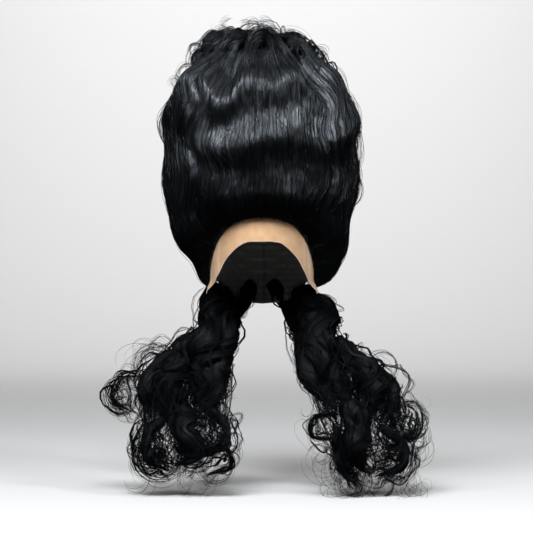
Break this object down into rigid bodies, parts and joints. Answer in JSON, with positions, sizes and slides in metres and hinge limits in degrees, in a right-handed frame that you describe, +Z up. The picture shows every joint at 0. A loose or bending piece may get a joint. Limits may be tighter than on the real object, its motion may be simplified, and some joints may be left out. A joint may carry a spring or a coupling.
{
  "type": "lace front wig",
  "caption": "Tall beehive lace front wig: combed hollow beehive with curls on top, sheer lace front with ear tabs, and a loose curled fall on each side.",
  "frame": {"origin": "the crown of the head inside the cap, where the wig sits on the head that wears it", "axes": "+Z up through the beehive, -Y the way the face looks, +X the wearer's left"},
  "size_m": [0.4542, 0.2702, 0.6603],
  "materials": {
    "hair": "glossy black hair with a cool sheen",
    "lace": "sheer flesh-toned net",
    "cap": "matt black stretch cap"
  },
  "bodies": {
    "root": {"wig_cap": "cap", "lace_front": "lace", "beehive_front_swoop": "hair", "beehive_back_sweep": "hair", "beehive_right_wave": "hair", "beehive_left_wave": "hair", "crown_curl_top_right": "hair", "crown_curl_far_right": "hair", "crown_curl_side_right": "hair", "crown_curl_middle": "hair", "crown_curl_front": "hair", "crown_curl_top_left": "hair", "crown_curl_far_left": "hair", "crown_curl_side_left": "hair", "crown_curl_back_right": "hair", "crown_curl_back_middle": "hair", "crown_curl_back_left": "hair", "right_fall_trunk": "hair", "right_nape_sweep": "hair", "right_fall_inner_lock": "hair", "right_fall_shoulder_lock": "hair", "right_fall_outer_lock": "hair", "right_fall_outer_curl": "hair", "right_fall_lower_lock": "hair", "right_fall_bottom_lock": "hair", "right_fall_chest_lock": "hair", "right_fall_chest_curl": "hair", "left_fall_trunk": "hair", "left_nape_sweep": "hair", "left_fall_inner_lock": "hair", "left_fall_shoulder_lock": "hair", "left_fall_outer_lock": "hair", "left_fall_outer_curl": "hair", "left_fall_lower_lock": "hair", "left_fall_bottom_lock": "hair", "left_fall_chest_lock": "hair", "left_fall_chest_curl": "hair"}
  },
  "joints": []
}
